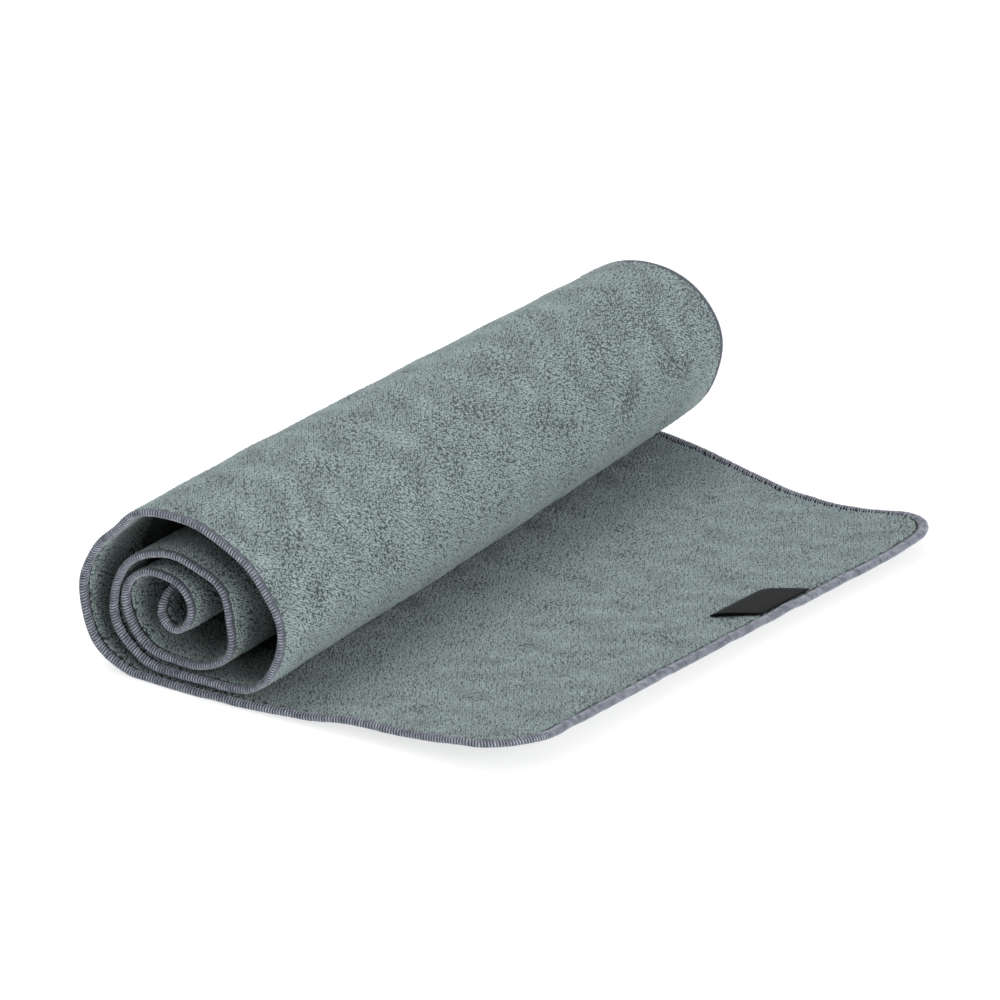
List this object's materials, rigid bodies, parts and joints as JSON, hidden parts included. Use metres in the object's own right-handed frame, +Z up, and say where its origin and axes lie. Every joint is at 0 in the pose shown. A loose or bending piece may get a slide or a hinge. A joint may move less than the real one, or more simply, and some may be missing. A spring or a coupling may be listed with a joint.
{
  "type": "rolled microfiber towel",
  "caption": "Terry towel with an overlocked hem and rounded corners, loosely rolled from one end, its other end left out flat with a small sewn-in tab.",
  "frame": {"origin": "on the surface that the towel rests on, under the middle of its box", "axes": "+Z up, +Y along the roll from its front end to its far end, +X from the roll towards the tail's end"},
  "size_m": [0.2612, 0.4072, 0.0916],
  "materials": {
    "terry": "sage grey microfibre terry, matt, with a grey overlocked edge",
    "woven_tab": "black woven ribbon, slightly lustrous"
  },
  "bodies": {
    "root": {"towel": "terry", "label": "woven_tab"}
  },
  "joints": []
}
